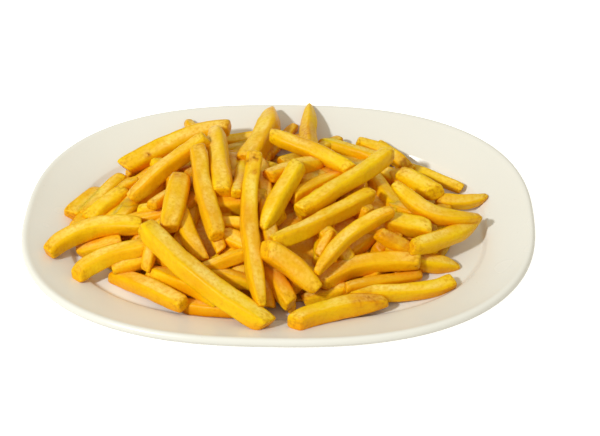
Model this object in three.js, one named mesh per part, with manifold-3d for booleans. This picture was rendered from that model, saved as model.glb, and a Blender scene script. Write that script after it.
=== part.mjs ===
// A portion of French fries heaped on an oval white porcelain platter.
//
// Millimetres, +Z up. The origin is the middle of the platter's foot, on the table. +X runs along
// the platter's long side and -Y is the diner's side. There are two solids: the platter, and the
// heap, which is a low core with every fry that shows fused onto it.

import * as THREE from 'three';
import { mergeVertices } from 'three/addons/utils/BufferGeometryUtils.js';
import Module from 'manifold-3d';

const wasm = await Module();
wasm.setup();

// ---- Platter -------------------------------------------------------------------------------

const HALF_LENGTH = 138.5;    // outer rim, along X
const HALF_WIDTH = 98;        // outer rim, along Y
const OUTLINE_POWER = 2.48;   // 2 would be an ellipse; above that the ends are fuller
const FLOOR_HEIGHT = 7;       // top of the flat well
const FLOOR_INSET = 30;       // from the outer edge in to the start of the flat well
const RIM_HEIGHT = 20;        // top of the rolled lip
const UNDERSIDE_HEIGHT = 2;   // of the hollow inside the foot ring
const PLATTER_STEPS = 60;     // round the outline

// The section of the platter, as [inset from the outer edge, height above the table].
const TOP_SECTION = [
  [FLOOR_INSET, FLOOR_HEIGHT],
  [27.5, 7.3],
  [25.5, 9.6],
  [24.5, 10.6],
  [14, 14.9],
  [6, 18.3],
  [2.8, RIM_HEIGHT],
  [1, 19.5],
  [0, 17.6],
];
const UNDER_SECTION = [
  [0.9, 15.2],
  [3.6, 13.4],
  [14, 10],
  [24, 5.8],
  [29, 3],
  [32, 0],
  [37, 0],
  [39, UNDERSIDE_HEIGHT],
];

// ---- Heap ----------------------------------------------------------------------------------

const FIT_GAP = 0.4;          // between the heap and the porcelain
const CORE_HALF_LENGTH = 104;
const CORE_HALF_WIDTH = 62;
const CORE_POWER = 2.2;
const CORE_CENTRE = [-5, 3];
const CORE_RISE = 23;         // of the core's crown above the well
const CORE_EDGE = 0.5;        // thickness of the core at its edge
const CORE_RINGS = 6;
const CORE_STEPS = 32;        // round the core

const SECTION_SIDES = 8;      // round a fry
const SECTION_POWER = 5;      // a cut potato stick: a square with soft corners
const THICKNESS = 0.95;       // height of a fry's section over its width
const STRAIGHT_STEPS = 2;     // along a fry
const BOWED_STEPS = 4;
const SQUARE_END_REACH = 6;   // how far back a square-cut end starts to narrow
const POINTED_END_REACH = 32;

// Fries worked out by rule, behind the ones placed by hand
const FILL_TRIES = 100;
const FILL_REACH = 0.97;      // share of the core that their middles keep to
const FILL_LENGTH = [44, 68];
const FILL_WIDTH = [9, 10.5];
const FILL_BLUNTNESS = 0.86;
const FILL_CLEARANCE = 7.5;   // a middle closer than this to another fry, in plan, is skipped
const FILL_COVER = 8;         // a fry that the diner sees further than this from a placed one, too
const FILL_LIFT = 4;          // most that an end lies above the core's surface
const FILL_SEED = 4111;
const FILL_LOOKS = [0, 0.25, 0.5, 0.75, 1]; // where along a fry it is looked at

// Where the diner's eye is, and the point of the table that it looks at. The hand-placed fries are
// given as that diner sees them: millimetres right of and above that point, on a plane through it
// square to the line of sight, with each end's height above the table. The line of sight then
// gives the place.
const EYE_AIM = new THREE.Vector3(0.8, 2, 0);
const EYE_DISTANCE = 780;
const EYE_ELEVATION = THREE.MathUtils.degToRad(42);
const EYE_AZIMUTH = THREE.MathUtils.degToRad(4.4);
const FORWARD = new THREE.Vector3(
  -Math.sin(EYE_AZIMUTH) * Math.cos(EYE_ELEVATION),
  Math.cos(EYE_AZIMUTH) * Math.cos(EYE_ELEVATION),
  -Math.sin(EYE_ELEVATION),
);
const RIGHTWARD = new THREE.Vector3(Math.cos(EYE_AZIMUTH), Math.sin(EYE_AZIMUTH), 0);
const UPWARD = new THREE.Vector3().crossVectors(RIGHTWARD, FORWARD);
const EYE = EYE_AIM.clone().addScaledVector(FORWARD, -EYE_DISTANCE);

// [right, up, height] of one end, the same of the other end, width, level bow to the left, how
// blunt each end is (1 is square cut, 0.2 a point), and where along the fry the bow is.
const FRIES = [
  // Front left, lying out over the rim
  [-128.5, -4.5, 18.5, -76.5, 8.5, 24, 9.5, 9.5, 0.8, 0.9, 0.42],
  [-113.5, -18, 15.5, -73, -2.5, 25, 9.3, 4.5, 0.8, 0.9, 0.4],
  [-111.5, -4, 10, -87.5, 0.5, 18, 7.9, 0, 0.86, 0.86],
  [-93.5, -18, 9.5, -54.5, -36, 16.5, 8.7, 1.5, 0.8, 0.9],
  [-70, 0.5, 30.5, -75, -16.5, 18, 6.4, 0, 0.9, 0.75],
  [-93, -15, 14.5, -69, -9, 18.5, 8.2, 0, 0.86, 0.86],
  [-73.5, 9, 37.5, -8, -47.5, 17.5, 10.6, -4, 0.8, 0.8],
  [-56.5, -36, 10, -15, -42, 11, 7.7, 0, 0.86, 0.86],
  [-74, -16.5, 14.5, -34.5, -34.5, 17, 8.4, 1.5, 0.86, 0.86],
  [-72, -6, 19, -47, -16, 19, 8.3, 0, 0.86, 0.86],
  // Back left
  [-114, 18.5, 13.5, -95, 32.5, 10.5, 8.1, 0, 0.85, 0.9],
  [-86.5, 36, 13.5, -107.5, 18, 13.5, 6.9, 0, 0.8, 0.9],
  [-85, 28.5, 19, -104.5, 15, 15, 7.1, 0, 0.86, 0.86],
  [-87.5, 29, 21, -76.5, 33.5, 22, 6, 0, 0.86, 0.86],
  [-85.5, 42.5, 17.5, -27.5, 61.5, 27.5, 9.9, 4.5, 0.9, 0.7],
  [-48.5, 65.5, 18, -42.5, 51, 18, 6.4, 0, 0.7, 0.9],
  [-83, 38.5, 11.5, -58, 46.5, 9.5, 7.4, 0, 0.86, 0.86],
  [-81.5, 23.5, 23.5, -38, 56, 38.5, 7.3, 1.5, 0.8, 0.9],
  [-55, 35, 34, -61.5, 12, 32.5, 10.4, 0, 0.8, 0.95],
  [-58, 27, 27.5, -70.5, 19.5, 31, 6.5, 0, 0.86, 0.86],
  [-78, 16.5, 21, -57, 19, 25, 7.5, 0, 0.86, 0.86],
  [-44.5, 50.5, 39, -36, 1, 34.5, 8, -1.5, 0.9, 0.85],
  [-36.5, 62, 30.5, -32, 25, 38, 9.4, 2.5, 0.3, 0.8],
  [-54, 16, 28.5, -41.5, -11, 22.5, 6.3, -2, 0.9, 0.6],
  [-67, 44, 24.5, -51, 25, 24.5, 8.3, 0, 0.86, 0.86],
  [-36, 1.5, 29.5, -32.5, -7, 26, 6.7, 0, 0.9, 0.9],
  [-47, 53, 12.5, -7, 54, 12.5, 7.8, 0, 0.86, 0.86],
  // Middle
  [-4.5, 69.5, 22.5, -18.5, 42.5, 27.5, 11.3, 3, 0.45, 0.9],
  [-13.5, 45.5, 45.5, -11.5, -38.5, 23.5, 8.6, -5, 1, 0.35],
  [-17.5, 46, 19.5, -23, 24, 39.5, 7, 0, 0.86, 0.86],
  [-3.5, 56, 37, 41.5, 34.5, 32.5, 7.8, 2, 0.8, 0.9],
  [11, 60.5, 15.5, -7, 43.5, 15.5, 6.5, 0, 0.7, 0.9],
  [19, 72.5, 20.5, 17.5, 45, 28, 8.3, 0, 0.2, 1],
  [16, 43, 21.5, 35, 52, 16.5, 6.5, 0, 0.9, 0.75],
  [44.5, 51, 16.5, 72, 35, 13.5, 7.2, 2.5, 0.6, 0.9],
  [26, 49.5, 16, 59, 40, 14, 6.4, 0, 0.86, 0.86],
  [11, 13.5, 34, 62, 43.5, 34.5, 8.9, -1.5, 0.8, 0.9],
  [-4.5, -3.5, 38.5, 51, 21.5, 28, 8.5, -2, 0.8, 0.85],
  [19.5, -21, 29, 63, 11.5, 35.5, 8.2, 5.5, 0.5, 0.7],
  [12.5, 39.5, 39.5, -8.5, 7, 34, 7.3, 0, 0.9, 0.35],
  [-5.5, 33, 38, 22.5, 39.5, 30, 9.4, 0, 0.75, 0.9],
  [2, 40.5, 17, 16, 43.5, 11, 7, 0, 0.86, 0.86],
  [-5, 53.5, 21, -7, 40, 19, 6, 0, 0.86, 0.86],
  [7.5, 21, 32, 39, 34.5, 24, 8, 0, 0.86, 0.86],
  [-37.5, 20, 30, -7, 21.5, 32, 9.5, 0, 0.86, 0.86],
  [-34.5, 8.5, 29.5, -12, 7, 30, 6.6, 0, 0.86, 0.86],
  [-32, 2.5, 28, -10.5, -8.5, 25.5, 7.7, 0, 0.86, 0.86],
  [-45, -17, 20.5, -17, -8, 26.5, 6.7, 0, 0.86, 0.86],
  [-40.5, -18, 18.5, -13, -27, 15.5, 7.6, 0, 0.86, 0.86],
  [-9, 34, 33, -5, -6, 28, 8.3, 0, 0.86, 0.86],
  [-13, -10, 23, 5, -38, 16, 8.7, 0, 0.86, 0.86],
  [-9, -6.5, 31, 20, -30.5, 21, 10.3, 2, 0.8, 0.75],
  // Back right
  [68.5, 31, 19.5, 87.5, 20.5, 21.5, 10.2, 0, 0.9, 0.9],
  [72.5, 35, 9.5, 101.5, 22, 9.5, 6, 0, 0.9, 0.9],
  [87, 17, 15, 115, 18, 12.5, 7.3, -3.5, 0.9, 0.35],
  [64.5, 26, 34.5, 111, 6.5, 22, 8.9, -10.5, 0.6, 0.4],
  [59.5, 5.5, 27.5, 82, -0.5, 24.5, 8, 0, 0.9, 0.8],
  [52, 32, 21, 67, 10, 23, 8.3, 0, 0.86, 0.86],
  [61, 14.5, 23, 80.5, 7.5, 24, 6.5, 0, 0.86, 0.86],
  [56, 48, 12.5, 74, 33, 12, 7.8, 0, 0.86, 0.86],
  [71, 3, 20, 93, 12, 12, 7.8, 0, 0.86, 0.86],
  // Front right
  [70.5, -11, 28, 111, 6, 15.5, 8.3, -3.5, 0.85, 0.3],
  [54, 0, 31, 74, -12, 21, 7, 0, 0.86, 0.86],
  [62.5, -11, 24, 63, -2.5, 26.5, 6, 0, 0.86, 0.86],
  [74, -10.5, 18, 92, -9.5, 16.5, 6.9, 0, 0.86, 0.86],
  [73.5, -16, 15, 98.5, -20.5, 8, 8.4, 0, 1, 0.3],
  [21.5, -28, 18.5, 77, -16.5, 19.5, 9, 7, 0.7, 0.9, 0.35],
  [35, -30, 18.5, 77, -24.5, 10, 6, 0, 0.9, 0.95],
  [35.5, -32, 14.5, 94.5, -28.5, 10, 8.2, -5, 0.9, 0.95],
  [5.5, -48.5, 18, 56.5, -38.5, 14, 9.4, 3, 0.9, 0.85],
  [-1.5, -28, 14, 5.5, -41, 9, 6.2, 0, 0.8, 0.8],
  [11.5, -36.5, 10, 36.5, -30, 13, 7.1, 0, 0.86, 0.86],
  [-4, -34, 12, 14, -23, 17, 7.4, 0, 0.86, 0.86],
  [28.5, 2.5, 32, 21.5, -4.5, 27, 6, 0, 0.86, 0.86],
  [31.5, -15.5, 26, 60, 4.5, 29.5, 8.1, 0, 0.86, 0.86],
  [50, -16, 21.5, 68, 3, 22, 7.8, 0, 0.86, 0.86],
  [21, 5, 28, 39, -16, 20, 8.3, 0, 0.86, 0.86],
];

// ---- Outlines and heights ------------------------------------------------------------------

// A point of the curve |x/a|^p + |y/b|^p = 1.
function superellipse(angle, a, b, power) {
  const c = Math.cos(angle);
  const s = Math.sin(angle);
  return [
    a * Math.sign(c) * Math.abs(c) ** (2 / power),
    b * Math.sign(s) * Math.abs(s) ** (2 / power),
  ];
}

// A lathe turns a section into a round dish of the platter's half width. Each of its rings is then
// moved out to an offset of the oval outline, and the rings of the flat well shrink evenly to the
// centre, so that the rim stays as wide at the ends as at the sides.
function ovalLathe(section) {
  const points = section.map(([inset, height]) => new THREE.Vector2(HALF_WIDTH - inset, height));
  const geometry = new THREE.LatheGeometry(points, PLATTER_STEPS);
  geometry.rotateX(Math.PI / 2);
  const position = geometry.attributes.position;
  const wellRadius = HALF_WIDTH - FLOOR_INSET;
  for (let i = 0; i < position.count; i++) {
    const radius = Math.hypot(position.getX(i), position.getY(i));
    const angle = Math.atan2(position.getY(i), position.getX(i));
    const ring = Math.max(radius, wellRadius);
    const scale = radius / ring;
    const [x, y] = superellipse(angle, ring + HALF_LENGTH - HALF_WIDTH, ring, OUTLINE_POWER);
    position.setXY(i, x * scale, y * scale);
  }
  return geometry;
}

// Height of the surface that the lowest fries rest on: a low dome over the well.
function coreHeight(x, y) {
  const fromCentre =
    Math.abs((x - CORE_CENTRE[0]) / CORE_HALF_LENGTH) ** CORE_POWER +
    Math.abs((y - CORE_CENTRE[1]) / CORE_HALF_WIDTH) ** CORE_POWER;
  return FLOOR_HEIGHT + CORE_RISE * Math.max(0, 1 - fromCentre);
}

// ---- Solids --------------------------------------------------------------------------------

function solidOf(geometry) {
  const bare = geometry.clone();
  bare.deleteAttribute('normal');
  bare.deleteAttribute('uv');
  const merged = mergeVertices(bare, 1e-4);
  return new wasm.Manifold(new wasm.Mesh({
    numProp: 3,
    vertProperties: Float32Array.from(merged.attributes.position.array),
    triVerts: Uint32Array.from(merged.index.array),
  }));
}

function geometryOf(solid) {
  const mesh = solid.getMesh();
  const geometry = new THREE.BufferGeometry();
  geometry.setAttribute('position', new THREE.BufferAttribute(mesh.vertProperties, 3));
  geometry.setIndex(new THREE.BufferAttribute(mesh.triVerts, 1));
  geometry.computeVertexNormals();
  return geometry;
}

// The core: a dome with a flat base on the well, as a lathe stretched to its oval.
function coreGeometry() {
  const base = FLOOR_HEIGHT + FIT_GAP;
  const points = [new THREE.Vector2(0, base)];
  for (let i = 0; i <= CORE_RINGS; i++) {
    const reach = 1 - i / CORE_RINGS;
    const height = FLOOR_HEIGHT + CORE_RISE * (1 - reach ** CORE_POWER);
    points.push(new THREE.Vector2(reach, Math.max(height, base + CORE_EDGE)));
  }
  const geometry = new THREE.LatheGeometry(points, CORE_STEPS);
  geometry.rotateX(Math.PI / 2);
  const position = geometry.attributes.position;
  for (let i = 0; i < position.count; i++) {
    const reach = Math.hypot(position.getX(i), position.getY(i));
    const angle = Math.atan2(position.getY(i), position.getX(i));
    const [x, y] = superellipse(angle, CORE_HALF_LENGTH, CORE_HALF_WIDTH, CORE_POWER);
    position.setXY(i, CORE_CENTRE[0] + x * reach, CORE_CENTRE[1] + y * reach);
  }
  return geometry;
}

// One fry: a cylinder of few sides whose section becomes a soft square and whose axis becomes a
// bowed line between two points. Its ends narrow over a length that grows as they get sharper.
function fryGeometry(from, to, width, bow, bluntFrom, bluntTo, bowAt) {
  const chord = to.clone().sub(from);
  const length = chord.length();
  const side = new THREE.Vector3(-chord.y, chord.x, 0).normalize();
  const control = from.clone().addScaledVector(chord, bowAt).addScaledVector(side, 2 * bow);
  const path = new THREE.QuadraticBezierCurve3(from, control, to);
  const steps = bow === 0 ? STRAIGHT_STEPS : BOWED_STEPS;
  const geometry = new THREE.CylinderGeometry(1, 1, 1, SECTION_SIDES, steps);
  geometry.rotateX(Math.PI / 2);
  const position = geometry.attributes.position;
  const narrowing = (blunt, fromEnd) => {
    const reach = THREE.MathUtils.lerp(POINTED_END_REACH, SQUARE_END_REACH, blunt);
    return 1 - (1 - blunt) * (1 - Math.min(1, fromEnd / Math.min(reach, length / 2))) ** 2;
  };
  for (let i = 0; i < position.count; i++) {
    const t = position.getZ(i) + 0.5;
    const size = narrowing(bluntFrom, t * length) * narrowing(bluntTo, (1 - t) * length);
    const tangent = path.getTangent(t);
    const across = new THREE.Vector3(-tangent.y, tangent.x, 0).normalize();
    const up = new THREE.Vector3().crossVectors(tangent, across);
    const radius = Math.hypot(position.getX(i), position.getY(i));
    const angle = Math.atan2(position.getY(i), position.getX(i)) + Math.PI / SECTION_SIDES;
    const [u, v] = superellipse(angle, 0.5 * width, 0.5 * width * THICKNESS, SECTION_POWER);
    const point = path.getPoint(t)
      .addScaledVector(across, u * radius * size)
      .addScaledVector(up, v * radius * size);
    position.setXYZ(i, point.x, point.y, point.z);
  }
  return geometry;
}

// ---- Placing -------------------------------------------------------------------------------

// The point at a given height that the diner sees at (right, up) of the point looked at.
function fromSeat(right, up, height) {
  const seen = EYE_AIM.clone().addScaledVector(RIGHTWARD, right).addScaledVector(UPWARD, up);
  const ray = seen.sub(EYE);
  return EYE.clone().addScaledVector(ray, (height - EYE.z) / ray.z);
}

// The other way: how far right of and above the point looked at the diner sees a point.
function toSeat(point) {
  const ray = point.clone().sub(EYE);
  ray.multiplyScalar(EYE_DISTANCE / ray.dot(FORWARD));
  return [ray.dot(RIGHTWARD), ray.dot(UPWARD)];
}

function placedFries() {
  return FRIES.map(([r0, u0, h0, r1, u1, h1, width, bow, blunt0, blunt1, bowAt = 0.5]) => ({
    from: fromSeat(r0, u0, h0),
    to: fromSeat(r1, u1, h1),
    width,
    bow,
    blunt0,
    blunt1,
    bowAt,
  }));
}

// Numbers from 0 to 1 that are the same on every run.
function seededDraw(seed) {
  let state = seed;
  return () => {
    state = (state * 16807) % 2147483647;
    return state / 2147483647;
  };
}

// How far a point of a plane lies from the straight line between two others.
function lineDistance([x, y], [ax, ay], [bx, by]) {
  const line = new THREE.Line3(new THREE.Vector3(ax, ay, 0), new THREE.Vector3(bx, by, 0));
  const point = new THREE.Vector3(x, y, 0);
  return line.closestPointToPoint(point, true, new THREE.Vector3()).distanceTo(point);
}

const planDistance = (point, fry) => lineDistance(point, fry.from.toArray(), fry.to.toArray());
const seenDistance = (point, fry) => lineDistance(toSeat(point), toSeat(fry.from), toSeat(fry.to));

// Fries that lie on the far half of the core, which no placed fry covers. They are spread evenly by
// the golden angle and turned every way. One that would show between the placed fries or beyond
// them is skipped.
function fillFries(placed) {
  const draw = seededDraw(FILL_SEED);
  const goldenAngle = Math.PI * (3 - Math.sqrt(5));
  const fries = [];
  for (let i = 0; i < FILL_TRIES; i++) {
    const reach = FILL_REACH * Math.sqrt((i + 0.5) / FILL_TRIES);
    const place = (i * goldenAngle) % Math.PI;
    const x = CORE_CENTRE[0] + CORE_HALF_LENGTH * reach * Math.cos(place);
    const y = CORE_CENTRE[1] + CORE_HALF_WIDTH * reach * Math.sin(place);
    const half = 0.5 * THREE.MathUtils.lerp(...FILL_LENGTH, draw());
    const heading = Math.PI * draw();
    const width = THREE.MathUtils.lerp(...FILL_WIDTH, draw());
    if ([...placed, ...fries].some((fry) => planDistance([x, y], fry) < FILL_CLEARANCE)) continue;
    const [from, to] = [-half, half].map((along) => {
      const ex = x + along * Math.cos(heading);
      const ey = y + along * Math.sin(heading);
      const lowest = FLOOR_HEIGHT + FIT_GAP + 0.5 * width;
      return new THREE.Vector3(ex, ey, Math.max(lowest, coreHeight(ex, ey) + FILL_LIFT * draw()));
    });
    const covered = FILL_LOOKS.every((t) => {
      const point = from.clone().lerp(to, t);
      return placed.some((fry) => seenDistance(point, fry) < FILL_COVER);
    });
    if (!covered) continue;
    const blunt = FILL_BLUNTNESS;
    fries.push({ from, to, width, bow: 0, blunt0: blunt, blunt1: blunt, bowAt: 0.5 });
  }
  return fries;
}

// ---- Assembly ------------------------------------------------------------------------------

function platterGeometry() {
  const underside = [...UNDER_SECTION, [HALF_WIDTH, UNDERSIDE_HEIGHT]];
  const top = [[HALF_WIDTH, FLOOR_HEIGHT], ...TOP_SECTION];
  return ovalLathe([...underside.reverse(), ...top.reverse()]);
}

// The platter's upper surface lifted by the fit gap and moved as far away from the rim's crest,
// closed below the table: what the heap is trimmed with, so that it never touches the porcelain.
function clearanceGeometry() {
  const [crestInset] = TOP_SECTION.find(([, height]) => height === RIM_HEIGHT);
  const lifted = [[HALF_WIDTH, FLOOR_HEIGHT], ...TOP_SECTION].map(
    ([inset, height]) => [inset + FIT_GAP * Math.sign(inset - crestInset), height + FIT_GAP],
  );
  lifted[0][0] = HALF_WIDTH;
  const below = [[HALF_WIDTH, -RIM_HEIGHT], [-RIM_HEIGHT, -RIM_HEIGHT], [-RIM_HEIGHT, RIM_HEIGHT / 2]];
  return ovalLathe([...below, ...lifted.reverse()]);
}

function heapGeometry() {
  const placed = placedFries();
  let heap = solidOf(coreGeometry());
  for (const fry of [...placed, ...fillFries(placed)]) {
    const { from, to, width, bow, blunt0, blunt1, bowAt } = fry;
    heap = heap.add(solidOf(fryGeometry(from, to, width, bow, blunt0, blunt1, bowAt)));
  }
  heap = heap.subtract(solidOf(clearanceGeometry()));
  // Only the outer skin of the largest piece is kept: sealed hollows fill up and scraps drop out.
  const pieces = heap.decompose().sort((a, b) => b.volume() - a.volume());
  return geometryOf(pieces[0]);
}

const porcelain = new THREE.MeshStandardMaterial({ color: 0xf0ebe0, roughness: 0.15, metalness: 0 });
porcelain.name = 'porcelain';
const friedPotato = new THREE.MeshStandardMaterial({ color: 0xe8b21c, roughness: 0.5, metalness: 0 });
friedPotato.name = 'fried_potato';

const platter = new THREE.Mesh(platterGeometry(), porcelain);
platter.name = 'platter';

const fries = new THREE.Mesh(heapGeometry(), friedPotato);
fries.name = 'fries';

const portion = new THREE.Group();
portion.name = 'french_fries_portion';
portion.add(platter, fries);

export default portion;
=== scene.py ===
# %% [markdown]
# # A portion of French fries on an oval platter
#
# The dish is two things: a white glazed platter, and a loose heap of thick-cut fries that
# spills over its well on to the rim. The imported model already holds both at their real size.
# Here each gets the surface that the eye expects: a smooth rolled porcelain rim, and fries that
# are uneven, soft-edged and each a little different in colour.
#
# Every length below is in millimetres until it goes into a mesh, and Blender works in metres.

import math

import bpy
import numpy as np
from mathutils import Matrix, Vector


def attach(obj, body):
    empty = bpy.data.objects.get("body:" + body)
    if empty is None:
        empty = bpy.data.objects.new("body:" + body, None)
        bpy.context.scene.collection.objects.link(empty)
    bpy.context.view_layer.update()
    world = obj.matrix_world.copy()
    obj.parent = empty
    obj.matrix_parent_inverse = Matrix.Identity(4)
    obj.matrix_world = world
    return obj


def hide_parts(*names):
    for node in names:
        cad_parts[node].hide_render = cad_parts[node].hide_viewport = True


MM = 0.001
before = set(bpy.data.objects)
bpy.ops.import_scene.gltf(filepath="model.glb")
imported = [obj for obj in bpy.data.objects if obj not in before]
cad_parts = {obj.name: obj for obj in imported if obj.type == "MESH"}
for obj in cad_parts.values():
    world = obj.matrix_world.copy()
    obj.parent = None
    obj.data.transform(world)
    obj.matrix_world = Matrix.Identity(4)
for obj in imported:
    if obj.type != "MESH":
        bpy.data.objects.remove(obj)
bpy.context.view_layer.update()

# %% [markdown]
# ## The camera
#
# The diner looks down at the dish from about 40 degrees above the table. A wide lens from close
# by would make the near rim bulge, so a long one stands well back, which keeps the near and the
# far rim almost equally large. The view leans over by two degrees, and the frame is shifted a
# little so that the dish sits left of and below its middle.

# %% Camera
EYE_AIM = np.array([0.8, 2.0, 0.0])
EYE_DISTANCE = 780
EYE_ELEVATION = math.radians(42)
EYE_AZIMUTH = math.radians(4.4)
EYE_LEAN = math.radians(-2.2)
LENS_LENGTH = 84.7
FILM_WIDTH = 36
FRAME_SHIFT = (0.0333, 0.0303)  # right and up, as shares of the film's width

forward = np.array(
    [
        -math.sin(EYE_AZIMUTH) * math.cos(EYE_ELEVATION),
        math.cos(EYE_AZIMUTH) * math.cos(EYE_ELEVATION),
        -math.sin(EYE_ELEVATION),
    ]
)
rightward = np.array([math.cos(EYE_AZIMUTH), math.sin(EYE_AZIMUTH), 0.0])
upward = np.cross(rightward, forward)
eye = EYE_AIM - EYE_DISTANCE * forward

lens_right = math.cos(EYE_LEAN) * rightward + math.sin(EYE_LEAN) * upward
lens_up = math.cos(EYE_LEAN) * upward - math.sin(EYE_LEAN) * rightward

camera_data = bpy.data.cameras.new("diner_view")
camera_data.lens = LENS_LENGTH
camera_data.sensor_width = FILM_WIDTH
camera_data.shift_x, camera_data.shift_y = FRAME_SHIFT
camera = bpy.data.objects.new("diner_view", camera_data)
bpy.context.scene.collection.objects.link(camera)
turn = Matrix([lens_right, lens_up, -forward]).transposed().to_4x4()
camera.matrix_world = Matrix.Translation(Vector(eye * MM)) @ turn
bpy.context.scene.camera = camera
print("camera", [round(c) for c in eye], "mm from the platter's middle")

# %% [markdown]
# ## Light
#
# The dish stands in a pale, slightly warm room, whose even light fills the shadows. One lamp
# hangs at the front left, as high as it is far away, so each fry throws a clear shadow to the
# right and back. A sun would light it as well, but its shadows are sharp everywhere. A disk as
# wide as a saucer keeps them crisp near the fry and softens them further off. Its light is a
# shade cooler than the room's. The film's plain "Standard" response keeps the yellows as
# strong as they are in daylight.

# %% Room and lamp
ROOM_COLOUR = (1, 0.95, 0.8, 1)
ROOM_STRENGTH = 0.6
LAMP_DIRECTION = Vector((-0.70, -0.78, 1.05)).normalized()
LAMP_DISTANCE = 2.0  # metres, as its width is
LAMP_WIDTH = 0.16
LAMP_WATTS = 28
LAMP_COLOUR = (0.94, 0.98, 1)

bpy.context.scene.view_settings.view_transform = "Standard"

room = bpy.data.worlds.new("white_room")
room.use_nodes = True
room.node_tree.nodes["Background"].inputs["Color"].default_value = ROOM_COLOUR
room.node_tree.nodes["Background"].inputs["Strength"].default_value = ROOM_STRENGTH
bpy.context.scene.world = room

light = bpy.data.lights.new("key_lamp", "AREA")
light.shape = "DISK"
light.size = LAMP_WIDTH
light.energy = LAMP_WATTS
light.color = LAMP_COLOUR
lamp = bpy.data.objects.new("key_lamp", light)
lamp.location = LAMP_DIRECTION * LAMP_DISTANCE
lamp.rotation_euler = (-LAMP_DIRECTION).to_track_quat("-Z", "Y").to_euler()
bpy.context.scene.collection.objects.link(lamp)
print("lamp", round(math.degrees(math.asin(LAMP_DIRECTION.z))), "degrees above the table")

# %% [markdown]
# ## Helpers for materials
#
# Colours are written as the hex values of a screen, which are not linear, and one function
# turns them into the linear values that Blender mixes. Another adds a node with its settings
# and links and hands back the output that is wanted, so that a material reads as a short list
# of steps. The same could be drawn by hand in the node editor, but then it couldn't be read.


# %% Colour and node helpers
def linear(hex_colour):
    """sRGB hex to linear RGBA: each channel is a straight line near black and a power above."""
    c = np.array([int(hex_colour[i : i + 2], 16) for i in (1, 3, 5)]) / 255
    c = np.where(c <= 0.04045, c / 12.92, ((c + 0.055) / 1.055) ** 2.4)
    return (*c.tolist(), 1.0)


def node(tree, kind, out, inputs=None, **settings):
    """Adds a shader node and returns its output `out`. Each input, by its name or number, is
    given a number, a colour, or the output that it is linked from."""
    made = tree.nodes.new("ShaderNode" + kind)
    for name, value in settings.items():
        setattr(made, name, value)
    for name, value in (inputs or {}).items():
        if isinstance(value, bpy.types.NodeSocket):
            tree.links.new(value, made.inputs[name])
        else:
            made.inputs[name].default_value = value
    return made.outputs[out]


# A Mix node has inputs for every kind of value: these are the numbers of its colour ones.
MIX_A, MIX_B, MIX_OUT = 6, 7, 2


def new_material(name):
    """An empty node material, with its shader and output already joined."""
    material = bpy.data.materials.new(name)
    material.use_nodes = True
    tree = material.node_tree
    return material, tree, tree.nodes["Principled BSDF"]


print("the colour #808080 is", round(linear("#808080")[0], 3), "in linear light")

# %% [markdown]
# ## The table
#
# The table top is plain white laminate: printed paper under matt resin, pressed smooth. It is
# only a ground for the dish. So that it stays white beyond the lamp's reach it glows a little,
# and that glow isn't let on to the dish, which would look lit from below.

# %% Table top
TABLE_SIZE = 6  # metres
TABLE_DROP = 0.2  # below the platter's foot, so that the two faces don't coincide
LAMINATE_GRAIN_MM = 17
LAMINATE_GLOW = 0.7

bpy.ops.mesh.primitive_plane_add(size=TABLE_SIZE, location=(0, 0, -TABLE_DROP * MM))
table = bpy.context.object
table.name = "table"
table.visible_diffuse = False

laminate, tree, shader = new_material("matt_white_laminate")
where = node(tree, "TexCoord", "Object")
grain_scale = 1 / (LAMINATE_GRAIN_MM * MM)
grain = node(tree, "TexNoise", "Fac", {"Vector": where, "Scale": grain_scale, "Detail": 3.0})
whites = {0: grain, MIX_A: linear("#F6F6F5"), MIX_B: linear("#FAFAF9")}
tree.links.new(node(tree, "Mix", MIX_OUT, whites, data_type="RGBA"), shader.inputs["Base Color"])
shader.inputs["Roughness"].default_value = 0.7
shader.inputs["Specular IOR Level"].default_value = 0.2
shader.inputs["Emission Color"].default_value = linear("#FFFFFF")
shader.inputs["Emission Strength"].default_value = LAMINATE_GLOW
table.data.materials.append(laminate)
print("table", TABLE_SIZE, "m wide")

# %% [markdown]
# ## The platter
#
# A platter is pressed or slip-cast porcelain: one section all the way round an oval. Spinning
# the section and stretching the result would widen the rim at the ends, and a real rim is as
# wide there as at the sides. So the surface is worked out on two parameters. One runs along the
# section, from the middle of the well over the rim and back under to the middle of the
# underside. The other runs round the oval, and each ring is an offset of the outline. The
# section's corners are cut three times over, which gives the soft curves of fired clay.

# %% The platter's section and outline
HALF_LENGTH = 138.5
HALF_WIDTH = 98
OUTLINE_POWER = 2.48
WELL_INSET = 30
WELL_HEIGHT = 7
UNDERSIDE_HEIGHT = 2

# [inset from the outer edge, height above the table]
TOP_SECTION = np.array(
    [
        [WELL_INSET, WELL_HEIGHT],
        [27.5, 7.3],
        [25.5, 9.6],
        [24.5, 10.6],
        [14, 14.9],
        [6, 18.3],
        [2.8, 20],
        [1, 19.5],
        [0, 17.6],
    ]
)
UNDER_SECTION = np.array(
    [
        [0.9, 15.2],
        [3.6, 13.4],
        [14, 10],
        [24, 5.8],
        [29, 3],
        [32, 0],
        [37, 0],
        [39, UNDERSIDE_HEIGHT],
    ]
)


def cut_corners(points, rounds):
    """Each round puts two points a quarter and three quarters along every straight stretch."""
    for _ in range(rounds):
        a, b = points[:-1], points[1:]
        cut = np.stack([0.75 * a + 0.25 * b, 0.25 * a + 0.75 * b], axis=1).reshape(-1, 2)
        points = np.vstack([points[:1], cut, points[-1:]])
    return points


def superellipse(angle, a, b, power):
    """A point of |x/a|^p + |y/b|^p = 1, from the powers 2/p of a cosine and a sine."""
    c, s = np.cos(angle), np.sin(angle)
    x = a * np.sign(c) * np.abs(c) ** (2 / power)
    y = b * np.sign(s) * np.abs(s) ** (2 / power)
    return x, y


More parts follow.
